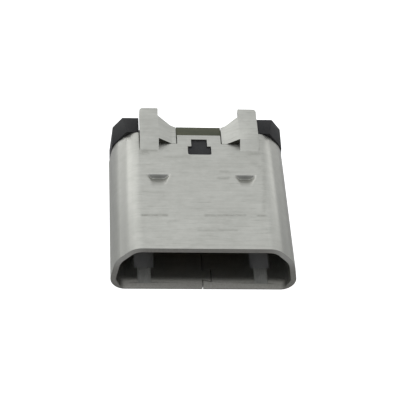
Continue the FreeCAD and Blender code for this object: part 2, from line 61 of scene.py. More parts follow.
def merged(node):
    """The CAD node's mesh as one closed skin, with the facets of each plane joined."""
    solid = bmesh.new()
    solid.from_mesh(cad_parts[node].data)
    bmesh.ops.remove_doubles(solid, verts=solid.verts, dist=SNAP)
    bmesh.ops.dissolve_limit(solid, angle_limit=PLANE_ANGLE, verts=solid.verts, edges=solid.edges)
    return solid


def cut_faces(solid, faces, place, normal, snap=SNAP):
    """Cut these faces of the skin along a plane, and leave the rest of it whole."""
    geom = faces + list({e for f in faces for e in f.edges}) + list({v for f in faces for v in f.verts})
    bmesh.ops.bisect_plane(solid, geom=geom, dist=snap, plane_co=place, plane_no=normal)


def finished_piece(name, solid, width, share=None):
    """An object from a closed skin, its sharp edges rounded by a width or by a share of it."""
    weight = solid.edges.layers.float.new("bevel_weight_edge")
    for edge in solid.edges:
        if edge.is_manifold and edge.calc_face_angle(0.0) > FACET_ANGLE:
            edge[weight] = 1.0 if share is None else share(edge)
    mesh = bpy.data.meshes.new(name)
    solid.to_mesh(mesh)
    solid.free()
    raw = bpy.data.objects.new(name + "_raw", mesh)
    bpy.context.scene.collection.objects.link(raw)
    bevel = raw.modifiers.new("rounded_edges", "BEVEL")
    bevel.width = width
    bevel.segments = 3
    bevel.limit_method = "WEIGHT"
    bevel.use_clamp_overlap = True
    bpy.context.view_layer.update()
    rounded = bpy.data.meshes.new_from_object(raw.evaluated_get(bpy.context.evaluated_depsgraph_get()))
    bpy.data.objects.remove(raw)
    piece = bpy.data.objects.new(name, rounded)
    bpy.context.scene.collection.objects.link(piece)
    rounded.polygons.foreach_set("use_smooth", [True] * len(rounded.polygons))
    rounded.set_sharp_from_angle(angle=FACET_ANGLE)
    weighted = piece.modifiers.new("flat_faces", "WEIGHTED_NORMAL")
    weighted.keep_sharp = True
    weighted.weight = 60
    bpy.context.view_layer.update()
    shaded = bpy.data.meshes.new_from_object(piece.evaluated_get(bpy.context.evaluated_depsgraph_get()))
    piece.modifiers.clear()
    piece.data = shaded
    shaded.name = name
    return piece


shell_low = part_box("shell")[0]
MOUTH = shell_low.y
FLAT_Z = 2.35 * MM
# the dents' centres and half widths at the rear: the left one is a little wider and nearer the middle
DENTS = ((-1.755 * MM, 0.46 * MM), (1.795 * MM, 0.43 * MM))
DENT_FRONT = MOUTH + 3.52 * MM
DENT_DEEP = MOUTH + 4.06 * MM
DENT_REAR = MOUTH + 4.16 * MM
DENT_NARROWING = 0.22 * MM
DENT_DEPTH = 0.175 * MM
DENT_SIDE = 0.20 * MM
DENT_MARGIN = 0.20 * MM
DENT_FADE = 0.6 * DENT_MARGIN
DENT_CELL = 0.022 * MM
DENT_SOFTNESS = 6.0
DENT_CREASE = 16.0
HOLLOW_FLOOR = FLAT_Z - 0.205 * MM


def dent_drop(x, y, wide):
    """How deep the dent is at a place: a long slope between soft sides, ended by a steep rear wall."""
    reach = (y - DENT_FRONT) / (DENT_DEEP - DENT_FRONT)
    half = wide - DENT_NARROWING * (1.0 - min(max(reach, 0.0), 1.0))
    slopes = (reach, (half - x) / DENT_SIDE, (half + x) / DENT_SIDE)
    bowl = -math.log(sum(math.exp(-DENT_SOFTNESS * slope) for slope in slopes)) / DENT_SOFTNESS
    wall = (DENT_REAR - y) / (DENT_REAR - DENT_DEEP)
    lowest = -math.log(math.exp(-DENT_CREASE * bowl) + math.exp(-DENT_CREASE * wall)) / DENT_CREASE
    return DENT_DEPTH * math.log(1.0 + math.exp(2.0 * DENT_SOFTNESS * lowest)) / (2.0 * DENT_SOFTNESS)


def press_dent(solid, centre, wide):
    """Change the CAD dent's flat-sided hollow into a soft one, on a fine net of the same skin."""
    left, right = centre - wide - DENT_MARGIN, centre + wide + DENT_MARGIN
    front, rear = DENT_FRONT - DENT_MARGIN, DENT_REAR + DENT_MARGIN
    near = 0.5 * NEAR

    def inside(place):
        in_plan = left - near < place.x < right + near and front - near < place.y < rear + near
        return in_plan and place.z > HOLLOW_FLOOR

    across, along = (1, 0, 0), (0, 1, 0)
    sides = (((left, 0, 0), across), ((right, 0, 0), across), ((0, front, 0), along), ((0, rear, 0), along))
    for place, normal in sides:
        skin = [face for face in solid.faces if all(abs(v.co.z - FLAT_Z) < near for v in face.verts)]
        cut_faces(solid, skin, place, normal, 0.5 * SNAP)
    covered = [face for face in solid.faces if all(inside(v.co) for v in face.verts)]
    bmesh.ops.delete(solid, geom=covered, context="FACES")
    border = [edge for edge in solid.edges if edge.is_boundary and all(inside(v.co) for v in edge.verts)]
    columns = int((right - left) / DENT_CELL)
    rows = int((rear - front) / DENT_CELL)
    xs = {left + (right - left) * i / columns for i in range(columns + 1)}
    ys = {front + (rear - front) * i / rows for i in range(rows + 1)}
    met = [corner.co.copy() for corner in {v for edge in border for v in edge.verts}]
    xs |= {place.x for place in met if all(abs(place.x - x) > near for x in xs)}
    ys |= {place.y for place in met if all(abs(place.y - y) > near for y in ys)}
    for edge in border:
        low, high = sorted(edge.verts, key=lambda v: (v.co.x, v.co.y))
        flat_run = abs(high.co.x - low.co.x) > abs(high.co.y - low.co.y)
        start, end = (low.co.x, high.co.x) if flat_run else (low.co.y, high.co.y)
        for stop in sorted(xs if flat_run else ys, reverse=True):
            if start + near < stop < end - near:
                edge, corner = bmesh.utils.edge_split(edge, high, (end - stop) / (end - start))
                corner.co = (stop, low.co.y, FLAT_Z) if flat_run else (low.co.x, stop, FLAT_Z)
                high, end = corner, stop
                edge = [e for e in corner.link_edges if e.other_vert(corner) is low][0]
    xs, ys = sorted(xs), sorted(ys)
    net = []
    for y in ys:
        line = []
        for x in xs:
            edge_gap = min(x - left, right - x, y - front, rear - y)
            fade = min(edge_gap / DENT_FADE, 1.0)
            drop = dent_drop(x - centre, y, wide) * fade * fade * (3.0 - 2.0 * fade)
            line.append(solid.verts.new((x, y, FLAT_Z - drop)))
        net.append(line)
    for near_line, far_line in zip(net, net[1:]):
        for i in range(len(xs) - 1):
            solid.faces.new((near_line[i], near_line[i + 1], far_line[i + 1], far_line[i]))
    bmesh.ops.remove_doubles(solid, verts=solid.verts, dist=SNAP)
    solid.normal_update()


# section of the tube, as folded: half widths to the sharp corners, and the bends' outside radii
TUBE_HALF = 3.70 * MM
WAIST = Vector((3.54, 1.60)) * MM
FLAT_CORNER = Vector((2.825, 2.35)) * MM
FOOT_RADIUS = 0.60 * MM
SIDE_RADIUS = 1.00 * MM
FLAT_RADIUS = 0.80 * MM
SHEET = 0.22 * MM
BEND_STEP = math.radians(3.0)
BEND_SLACK = 0.014 * MM
ANGLE_SLACK = 0.01


def bend_centre(corner, start, end, radius):
    """Centre of the round that touches both sides of a corner, whose outward normals have these angles."""
    middle = (start + end) / 2
    reach = radius / math.cos((end - start) / 2)
    return corner - reach * Vector((math.cos(middle), math.sin(middle)))


def round_bend(solid, centre, start, end, radii):
    """Divide a bend along Y into fine strips, left and right of the middle, and set them on their radii."""
    for side in (1, -1):

        def radial(place):
            return Vector((side * place.x - centre.x, place.z - centre.y))

        def in_bend(place):
            ray = radial(place)
            turn = math.atan2(ray.y, ray.x)
            near = any(abs(ray.length - radius) < BEND_SLACK for radius in radii)
            return near and start - ANGLE_SLACK < turn < end + ANGLE_SLACK

        steps = int((end - start) / BEND_STEP)
        for i in range(1, steps):
            turn = start + (end - start) * i / steps
            faces = [face for face in solid.faces if all(in_bend(corner.co) for corner in face.verts)]
            faces = [face for face in faces if abs(face.normal.y) < 0.5]
            normal = (-side * math.sin(turn), 0, math.cos(turn))
            cut_faces(solid, faces, (side * centre.x, 0, centre.y), normal)
        for corner in solid.verts:
            if in_bend(corner.co):
                ray = radial(corner.co)
                radius = min(radii, key=lambda value: abs(ray.length - value))
                ray = ray.normalized() * radius
                corner.co.x = side * (centre.x + ray.x)
                corner.co.z = centre.y + ray.y


QUARTER = math.pi / 2
foot_centre = Vector((TUBE_HALF - FOOT_RADIUS, FOOT_RADIUS))
gap = WAIST - foot_centre
lean = math.atan2(gap.y, gap.x) - math.acos(FOOT_RADIUS / gap.length)
slope = QUARTER - math.atan2(FLAT_CORNER.y - WAIST.y, WAIST.x - FLAT_CORNER.x)
side_centre = bend_centre(WAIST, lean, slope, SIDE_RADIUS)
flat_centre = bend_centre(FLAT_CORNER, slope, QUARTER, FLAT_RADIUS)
TUBE_BENDS = (
    (foot_centre, -QUARTER, lean, FOOT_RADIUS),
    (side_centre, lean, slope, SIDE_RADIUS),
    (flat_centre, slope, QUARTER, FLAT_RADIUS),
)


# how far a face leans sideways where the shoulder begins and where it is full
SHOULDER_LEAN = 0.2
SIDE_LEAN = 0.6


def punch_share(edge):
    """The punch rolls over the mouth's outside edge, most on the shoulders; other edges are only broken."""
    middle = (edge.verts[0].co + edge.verts[1].co) / 2
    if abs(middle.y - MOUTH) > NEAR:
        return CUT_BREAK / PUNCH_ROLL
    skin = max(edge.link_faces, key=lambda face: -abs(face.normal.y))
    outward = Vector((middle.x, 0, middle.z - (shell_low.z + FLAT_Z) / 2))
    if skin.normal.dot(outward) < 0:
        return CUT_BREAK / PUNCH_ROLL
    tilt = (abs(skin.normal.x) - SHOULDER_LEAN) / (SIDE_LEAN - SHOULDER_LEAN)
    shoulder = min(max(tilt, 0.0), 1.0) if middle.z > FOOT_RADIUS else 0.0
    return (FLAT_ROLL + (PUNCH_ROLL - FLAT_ROLL) * shoulder) / PUNCH_ROLL


LIP_DEPTH = 0.17 * MM
LIP_SLOPE = 0.17 / 0.36
LIP_EASE_START = 0.24 * MM
LIP_EASE_END = 0.48 * MM
# where the lip is cut across, in millimetres from the mouth
LIP_CUTS = (0.08, 0.16, 0.24, 0.28, 0.32, 0.36, 0.40, 0.44, 0.48)
LIP_TURN = math.radians(55.0)
WING_START = MOUTH + 6.00 * MM


def lip_cut(depth):
    """How much of the sheet the lip's bevel takes away at a distance from the mouth."""
    if depth < LIP_EASE_START:
        return LIP_DEPTH - LIP_SLOPE * depth
    left = max(LIP_EASE_END - depth, 0.0)
    return LIP_SLOPE * left * left / (LIP_EASE_END - LIP_EASE_START) / 2.0


def ease_lip(solid):
    """Run the lip's bevel out softly into the tube's floor, and round the lower corners on both sides."""
    skin = SHEET + NEAR
    inner = FOOT_RADIUS - SHEET

    def turn_in_corner(place):
        """The angle past straight down on the inside of a lower corner, or None elsewhere."""
        ray = Vector((abs(place.x) - foot_centre.x, place.z - foot_centre.y))
        turn = math.atan2(ray.y, ray.x) + QUARTER
        in_round = abs(ray.length - inner) < 2.0 * NEAR
        return turn if in_round and -ANGLE_SLACK < turn < LIP_TURN + 5.0 * ANGLE_SLACK else None

    def on_floor(face):
        return face.normal.z > 0.5 and max(v.co.z for v in face.verts) < skin

    def lip_faces():
        """Faces of the tube's floor and lower corners, up to the start of the wings."""
        lengthwise = [face for face in solid.faces if abs(face.normal.y) < SQUARE_ON]
        lengthwise = [face for face in lengthwise if face.calc_center_median().y < WING_START]
        in_corner = [f for f in lengthwise if all(turn_in_corner(v.co) is not None for v in f.verts)]
        return [f for f in lengthwise if on_floor(f)] + [f for f in in_corner if not on_floor(f)]

    for depth in LIP_CUTS:
        cut_faces(solid, lip_faces(), (0, MOUTH + depth * MM, 0), (0, 1, 0))
    for corner in {corner for face in lip_faces() for corner in face.verts}:
        cut = lip_cut(corner.co.y - MOUTH)
        turn = turn_in_corner(corner.co)
        if cut <= 0.0:
            continue
        if turn is None or turn < ANGLE_SLACK:
            corner.co.z = min(corner.co.z, SHEET - cut)
        else:
            share = max(1.0 - turn / LIP_TURN, 0.0)
            out = inner + cut * share * share * (3.0 - 2.0 * share)
            ray = Vector((math.copysign(math.sin(turn), corner.co.x), -math.cos(turn))) * out
            corner.co.x = math.copysign(foot_centre.x, corner.co.x) + ray.x
            corner.co.z = foot_centre.y + ray.y
    bmesh.ops.remove_doubles(solid, verts=solid.verts, dist=2.0 * SNAP)


tube = merged("shell")
for centre, start, end, radius in TUBE_BENDS:
    round_bend(tube, centre, start, end, (radius, radius - SHEET))
for centre, wide in DENTS:
    press_dent(tube, centre, wide)
ease_lip(tube)
shell = finished_piece("shell_folded", tube, PUNCH_ROLL, punch_share)


def finish_nodes(name):
    """A new material with its node tree, shader and object coordinates."""
    material = bpy.data.materials.new(name)
    material.use_nodes = True
    tree = material.node_tree
    shader = tree.nodes["Principled BSDF"]
    place = tree.nodes.new("ShaderNodeTexCoord").outputs["Object"]
    return material, tree, shader, place


def stretched(tree, place, scale):
    """Object coordinates with their own scale along each axis, in cells per millimetre."""
    node = tree.nodes.new("ShaderNodeMapping")
    node.inputs["Scale"].default_value = [value / MM for value in scale]
    tree.links.new(place, node.inputs["Vector"])
    return node.outputs["Vector"]


def noise(tree, where, detail=3.0, roughness=0.55, seed=0.0):
    """Noise whose cells are one unit of the coordinates given."""
    node = tree.nodes.new("ShaderNodeTexNoise")
    node.noise_dimensions = "4D"
    node.inputs["W"].default_value = seed
    node.inputs["Scale"].default_value = 1.0
    node.inputs["Detail"].default_value = detail
    node.inputs["Roughness"].default_value = roughness
    tree.links.new(where, node.inputs["Vector"])
    return node.outputs["Fac"]


def spread(tree, value, low, high, to_low, to_high, smooth=False):
    """A value mapped from one range to another and held inside it."""
    node = tree.nodes.new("ShaderNodeMapRange")
    node.interpolation_type = "SMOOTHSTEP" if smooth else "LINEAR"
    for slot, number in (("From Min", low), ("From Max", high), ("To Min", to_low), ("To Max", to_high)):
        node.inputs[slot].default_value = number
    tree.links.new(value, node.inputs["Value"])
    return node.outputs["Result"]


def maths(tree, kind, first, second=None, third=None):
    """One math node; each input is a socket or a number."""
    node = tree.nodes.new("ShaderNodeMath")
    node.operation = kind
    for slot, value in zip(node.inputs, (first, second, third)):
        if value is None:
            continue
        if isinstance(value, (int, float)):
            slot.default_value = value
        else:
            tree.links.new(value, slot)
    return node.outputs["Value"]


def distance(tree, first, second):
    """How far a place is, from its distances along two directions."""
    squares = maths(tree, "MULTIPLY_ADD", first, first, maths(tree, "MULTIPLY", second, second))
    return maths(tree, "SQRT", squares)


def tinted(tree, factor, low, high):
    """A colour between two others."""
    node = tree.nodes.new("ShaderNodeMix")
    node.data_type = "RGBA"
    for slot, value in (("A_Color", low), ("B_Color", high)):
        socket = [item for item in node.inputs if item.identifier == slot][0]
        if isinstance(value, (tuple, list)):
            socket.default_value = (*value, 1.0)
        else:
            tree.links.new(value, socket)
    tree.links.new(factor, node.inputs[0])
    return [item for item in node.outputs if item.identifier == "Result_Color"][0]


def blend(tree, pattern, dark, light):
    """A colour that runs from dark to light over the middle of a noise pattern."""
    return tinted(tree, spread(tree, pattern, 0.3, 0.7, 0.0, 1.0), dark, light)


def relief(tree, height, depth, previous=None):
    """A bump whose height is given in millimetres."""
    node = tree.nodes.new("ShaderNodeBump")
    node.inputs["Strength"].default_value = 1.0
    node.inputs["Distance"].default_value = depth * MM
    tree.links.new(height, node.inputs["Height"])
    if previous is not None:
        tree.links.new(previous, node.inputs["Normal"])
    return node.outputs["Normal"]


# Satin plating over strip that was rolled across the tube, so its fine lines run round the section and not
# along it. Handling has left short dull rubs on the flat, and a painted shade darkens the shoulders, most
# at the mouth.
PLATING = (0.523, 0.523, 0.488)
PLATING_DULL = (0.410, 0.410, 0.378)
# dark colour of the rubs, also used for the painted shade in the dents
RUBBED_AND_SHADED = (0.25, 0.25, 0.225)
# colour of the painted shade on the shoulders
SHOULDER_SHADE = (0.31, 0.31, 0.29)
# place and size of the painted shade in each dent's hollow
DENT_SHADE_AHEAD = 0.13 * MM
DENT_SHADE_LENGTH = 0.26 * MM
DENT_SHADE_WIDTH = 0.84
# where the painted shade on the shoulders has faded out towards the board end
SHOULDER_SHADE_END = 3.2 * MM
# rubs on the flat: start x, y, end x, y, half width (millimetres), strength
RUBS = [
    (-2.45, -2.09, -1.50, -2.08, 0.060, 0.68),
    (0.06, -2.07, 1.62, -2.04, 0.060, 0.62),
    (2.16, -2.07, 2.46, -2.07, 0.060, 0.60),
    (-0.25, -2.90, 1.24, -2.88, 0.055, 0.42),
    (0.71, 0.06, 1.08, 0.07, 0.080, 0.52),
    (0.82, 0.45, 1.07, 0.45, 0.070, 0.40),
    (2.25, 0.95, 2.61, 0.45, 0.14, 0.30),
    (2.58, 0.30, 2.42, -1.76, 0.08, 0.30),
    (-1.42, -2.46, -1.20, -2.40, 0.09, 0.34),
    (-1.46, 1.28, -0.42, 1.30, 0.06, 0.32),
    (-2.35, 1.54, -2.20, 1.54, 0.12, 0.55),
    (-2.30, 1.67, -1.80, 1.66, 0.05, 0.45),
    (2.10, 1.50, 2.45, 1.56, 0.09, 0.40),
    (-0.60, -3.70, 1.90, -3.69, 0.045, 0.22),
]

plated, tree, shader, place = finish_nodes("satin_plating")
axes = tree.nodes.new("ShaderNodeSeparateXYZ")
tree.links.new(place, axes.inputs["Vector"])
cloud = noise(tree, stretched(tree, place, (0.55, 0.45, 0.8)), detail=4.0, seed=3.0)
mottle = noise(tree, stretched(tree, place, (2.4, 3.4, 2.4)), detail=5.0, roughness=0.7, seed=29.0)
rolled = noise(tree, stretched(tree, place, (0.7, 11.0, 0.7)), detail=4.0, roughness=0.65, seed=7.0)
grain = noise(tree, stretched(tree, place, (16.0, 24.0, 16.0)), detail=2.0, seed=11.0)
# folding has smoothed the rolled lines on the bends and shoulders
on_flat = spread(tree, axes.outputs["Z"], 2.30 * MM, 2.34 * MM, 0.0, 1.0)
lined = maths(tree, "MULTIPLY_ADD", on_flat, 0.55, 0.45)
rolled = maths(tree, "MULTIPLY_ADD", maths(tree, "SUBTRACT", rolled, 0.5), lined, 0.5)
broken = noise(tree, stretched(tree, place, (5.0, 12.0, 5.0)), detail=4.0, roughness=0.7, seed=19.0)
scuffs = noise(tree, stretched(tree, place, (1.1, 13.0, 1.1)), detail=3.0, roughness=0.6, seed=23.0)
rubs_and_shade = spread(tree, scuffs, 0.57, 0.76, 0.0, 0.55)
for x0, y0, x1, y1, half, strength in RUBS:
    run = Vector(((x1 - x0) * MM, (y1 - y0) * MM))
    along = run.normalized()
    dx = maths(tree, "SUBTRACT", axes.outputs["X"], x0 * MM)
    dy = maths(tree, "SUBTRACT", axes.outputs["Y"], y0 * MM)
    reach = maths(tree, "MULTIPLY_ADD", dx, along.x, maths(tree, "MULTIPLY", dy, along.y))
    reach = maths(tree, "MINIMUM", maths(tree, "MAXIMUM", reach, 0.0), run.length)
    off_x = maths(tree, "SUBTRACT", dx, maths(tree, "MULTIPLY", reach, along.x))
    off_y = maths(tree, "SUBTRACT", dy, maths(tree, "MULTIPLY", reach, along.y))
    one = spread(tree, distance(tree, off_x, off_y), 0.0, half * 2.0 * MM, strength, 0.0, smooth=True)
    rubs_and_shade = maths(tree, "MAXIMUM", rubs_and_shade, one)
rubs_and_shade = maths(tree, "MULTIPLY", rubs_and_shade, on_flat)
rubs_and_shade = maths(tree, "MULTIPLY", rubs_and_shade, spread(tree, broken, 0.30, 0.60, 0.15, 1.0))
# a painted shade darkens the plating in the deep middle of each dent
for centre, wide in DENTS:
    dx = maths(tree, "DIVIDE", maths(tree, "SUBTRACT", axes.outputs["X"], centre), DENT_SHADE_WIDTH * wide)
    dy = maths(tree, "SUBTRACT", axes.outputs["Y"], DENT_DEEP - DENT_SHADE_AHEAD)
    dy = maths(tree, "DIVIDE", dy, DENT_SHADE_LENGTH)
    dent_shade = spread(tree, distance(tree, dx, dy), 0.35, 1.0, 0.70, 0.0, smooth=True)
    rubs_and_shade = maths(tree, "MAXIMUM", rubs_and_shade, dent_shade)
tone = maths(tree, "MULTIPLY_ADD", rolled, 0.40, maths(tree, "MULTIPLY", cloud, 0.25))
tone = maths(tree, "MULTIPLY_ADD", mottle, 0.35, tone)
colour = tinted(tree, spread(tree, tone, 0.37, 0.62, 0.0, 1.0), PLATING_DULL, PLATING)
# less of the painted shade on the shoulders reaches down the sides, and none the flat
off_flat = spread(tree, axes.outputs["Z"], 2.05 * MM, 2.30 * MM, 1.0, 0.0)
off_side = spread(tree, axes.outputs["Z"], 1.50 * MM, 2.00 * MM, 0.30, 1.0)
near_mouth = spread(tree, axes.outputs["Y"], MOUTH, SHOULDER_SHADE_END, 0.75, 0.0)
shoulder_shade = maths(tree, "MULTIPLY", maths(tree, "MULTIPLY", off_flat, off_side), near_mouth)
colour = tinted(tree, shoulder_shade, colour, SHOULDER_SHADE)
colour = tinted(tree, rubs_and_shade, colour, RUBBED_AND_SHADED)
tree.links.new(colour, shader.inputs["Base Color"])
shader.inputs["Metallic"].default_value = 1.0
rough = maths(tree, "ADD", spread(tree, rolled, 0.3, 0.7, 0.40, 0.48), maths(tree, "MULTIPLY", rubs_and_shade, 0.12))
tree.links.new(rough, shader.inputs["Roughness"])
surface = relief(tree, rolled, 0.0012)
surface = relief(tree, grain, 0.0006, surface)
surface = relief(tree, maths(tree, "SUBTRACT", 1.0, rubs_and_shade), 0.003, surface)
tree.links.new(surface, shader.inputs["Normal"])

# Cut edges, where the punch has torn the strip: rougher and darker than the plated faces. A painted
# highlight makes the mouth's edge brighter on its shoulders.
TORN_DARK = (0.260, 0.254, 0.232)
TORN_LIGHT = (0.318, 0.310, 0.288)
RIM_SHOULDER_HIGHLIGHT = (0.42, 0.415, 0.39)
bare, tree, shader, place = finish_nodes("sheared_edge")
shear = noise(tree, stretched(tree, place, (14.0, 14.0, 14.0)), detail=3.0, seed=5.0)
torn = blend(tree, shear, TORN_DARK, TORN_LIGHT)
axes = tree.nodes.new("ShaderNodeSeparateXYZ")
tree.links.new(place, axes.inputs["Vector"])
# the painted highlight on the mouth's edge, on the shoulders only
on_shoulder = spread(tree, maths(tree, "ABSOLUTE", axes.outputs["X"]), 2.3 * MM, 3.0 * MM, 0.0, 1.0)
off_floor = spread(tree, axes.outputs["Z"], 1.1 * MM, 1.6 * MM, 0.0, 1.0)
rim_highlight = maths(tree, "MULTIPLY", on_shoulder, off_floor)
tree.links.new(tinted(tree, rim_highlight, torn, RIM_SHOULDER_HIGHLIGHT), shader.inputs["Base Color"])
shader.inputs["Metallic"].default_value = 1.0
shader.inputs["Roughness"].default_value = 0.5
tree.links.new(relief(tree, shear, 0.003), shader.inputs["Normal"])

# Cut edges deep under the wings, darkened with painted shade, and the lead-in ramps in front of the latch
# windows, scraped matt by the press.
WING_SHADE_DARK = (0.045, 0.044, 0.036)
WING_SHADE_LIGHT = (0.085, 0.083, 0.070)
SCRAPED_DARK = (0.35, 0.35, 0.33)
SCRAPED_LIGHT = (0.45, 0.45, 0.43)
wing_shade_finish, tree, shader, place = finish_nodes("shaded_wing_edge")
shade_mottle = noise(tree, stretched(tree, place, (6.0, 6.0, 6.0)), detail=3.0, seed=13.0)
tree.links.new(blend(tree, shade_mottle, WING_SHADE_DARK, WING_SHADE_LIGHT), shader.inputs["Base Color"])
shader.inputs["Metallic"].default_value = 1.0
shader.inputs["Roughness"].default_value = 0.55
tree.links.new(relief(tree, shade_mottle, 0.002), shader.inputs["Normal"])
scraped, tree, shader, place = finish_nodes("scraped_ramp")
lines = noise(tree, stretched(tree, place, (20.0, 2.0, 20.0)), detail=3.0, seed=17.0)
tree.links.new(blend(tree, lines, SCRAPED_DARK, SCRAPED_LIGHT), shader.inputs["Base Color"])
shader.inputs["Metallic"].default_value = 0.75
shader.inputs["Roughness"].default_value = 0.85
tree.links.new(relief(tree, lines, 0.003), shader.inputs["Normal"])

LIP_REACH = 0.42 * MM
LIP_BOTTOM = 0.02 * MM
LIP_TOP = 0.45 * MM
LIP_TILT = 0.1
RAMP_X = 2.34 * MM
RAMP_HALF = 0.275 * MM
RAMP_END = MOUTH + 0.96 * MM
RAMP_TILT = 0.08
WING_SLACK = 0.02 * MM
PLATED, BARE, UNDER_WING_SHADE, SCRAPED = range(4)
for finish in (plated, bare, wing_shade_finish, scraped):
    shell.data.materials.append(finish)
for face in shell.data.polygons:
    end_face = abs(face.normal.y) > SQUARE_ON
    in_lip = face.center.y < MOUTH + LIP_REACH and LIP_BOTTOM < face.center.z < LIP_TOP
    lip = in_lip and face.normal.y < -LIP_TILT
    under_wing = face.normal.y < -SQUARE_ON and abs(face.center.y - WING_START) < WING_SLACK
    over_ramp = abs(abs(face.center.x) - RAMP_X) < RAMP_HALF and face.center.y < RAMP_END
    sunk = face.normal.z > SQUARE_ON and face.center.z < SHEET - 2.0 * NEAR
    ramp = over_ramp and sunk and face.normal.y < -RAMP_TILT
    # the cut faces under the wings take the painted shade
    if under_wing:
        face.material_index = UNDER_WING_SHADE
    elif end_face or lip and not ramp:
        face.material_index = BARE
    else:
        face.material_index = SCRAPED if ramp else PLATED
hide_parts("shell")
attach(shell, "root")

# Insulator. One moulding of black heat-proof plastic: the block inside the shell, the tongue, the T boss
# that fills the shell's window, and the flange behind. It is pushed in from the board end, up to the dents.
FLANGE_RADIUS = 0.45 * MM
FLANGE_HALF = 3.71 * MM
FLANGE_LEAN = math.atan2(0.14, 1.80)
FIT_GAP = 0.02 * MM
MOULD_ROUND = 0.025 * MM
BLACK_DEEP = (0.006, 0.006, 0.008)
BLACK_WORN = (0.028, 0.028, 0.028)
black, tree, shader, place = finish_nodes("black_moulding")
flow = noise(tree, stretched(tree, place, (1.2, 0.5, 1.2)), detail=4.0, seed=2.0)
tooth = noise(tree, stretched(tree, place, (11.0, 11.0, 11.0)), detail=4.0, roughness=0.65, seed=9.0)
streaks = spread(tree, maths(tree, "ADD", flow, tooth), 0.75, 1.25, 0.0, 1.0)
tree.links.new(tinted(tree, streaks, BLACK_DEEP, BLACK_WORN), shader.inputs["Base Color"])
tree.links.new(spread(tree, tooth, 0.3, 0.7, 0.45, 0.6), shader.inputs["Roughness"])
shader.inputs["Specular IOR Level"].default_value = 0.26
tree.links.new(relief(tree, tooth, 0.003), shader.inputs["Normal"])
moulding = merged("insulator")
for centre, start, end, radius in TUBE_BENDS:
    round_bend(moulding, centre, start, end, (radius - SHEET - FIT_GAP,))
flange_centre = bend_centre(Vector((FLANGE_HALF, 0.0)), -QUARTER, FLANGE_LEAN, FLANGE_RADIUS)
round_bend(moulding, flange_centre, -QUARTER, FLANGE_LEAN, (FLANGE_RADIUS,))
insulator = finished_piece("insulator_moulding", moulding, MOULD_ROUND)
insulator.data.materials.clear()
insulator.data.materials.append(black)
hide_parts("insulator")
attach(insulator, "root")

# Contacts. Flat strips stamped from copper alloy and plated with gold, pressed into the insulator from the
# board end; the outer two reach further forward than the middle three.
CONTACT_SPACING = 0.65 * MM
TAIL_HALF = 0.15 * MM
NOSE = 0.06 * MM
SHOULDER_BEHIND = 0.05 * MM
SHOULDER_LENGTH = 0.15 * MM
STRIP_BREAK = 0.012 * MM
GOLD_DEEP = (0.72, 0.50, 0.20)
GOLD_BRIGHT = (0.86, 0.64, 0.30)
gold, tree, shader, place = finish_nodes("gold_plate")
strip_lines = noise(tree, stretched(tree, place, (30.0, 2.0, 30.0)), detail=2.0, seed=4.0)
tree.links.new(blend(tree, strip_lines, GOLD_DEEP, GOLD_BRIGHT), shader.inputs["Base Color"])
shader.inputs["Metallic"].default_value = 1.0
tree.links.new(spread(tree, strip_lines, 0.3, 0.7, 0.20, 0.34), shader.inputs["Roughness"])
tree.links.new(relief(tree, strip_lines, 0.001), shader.inputs["Normal"])


def contact_strip(name, node):
    """One stamped strip along Y at X = 0, as long and as high as the CAD contact, its two ends chamfered.
    """
    low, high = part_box(node)
    half = (high.x - low.x) / 2
    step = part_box("retainer")[0].y + SHOULDER_BEHIND
    stations = [
        (low.y, half - NOSE / 2, low.z + NOSE, high.z),
        (low.y + NOSE, half, low.z, high.z),
        (step, half, low.z, high.z),
        (step + SHOULDER_LENGTH, TAIL_HALF, low.z, high.z),
        (high.y - NOSE / 2, TAIL_HALF, low.z, high.z),
        (high.y, TAIL_HALF - NOSE / 3, low.z, high.z - NOSE / 2),
    ]
    strip = bmesh.new()
    rings = []
    for y, wide, bottom, top in stations:
        corners = ((-wide, bottom), (wide, bottom), (wide, top), (-wide, top))
        rings.append([strip.verts.new((x, y, z)) for x, z in corners])
    for ahead, behind in zip(rings, rings[1:]):
        for i in range(4):
            strip.faces.new((ahead[i], ahead[(i + 1) % 4], behind[(i + 1) % 4], behind[i]))
    strip.faces.new(rings[0][::-1])
    strip.faces.new(rings[-1])
    bmesh.ops.recalc_face_normals(strip, faces=strip.faces)
    mesh = bpy.data.meshes.new(name)
    strip.to_mesh(mesh)
    strip.free()
    return mesh


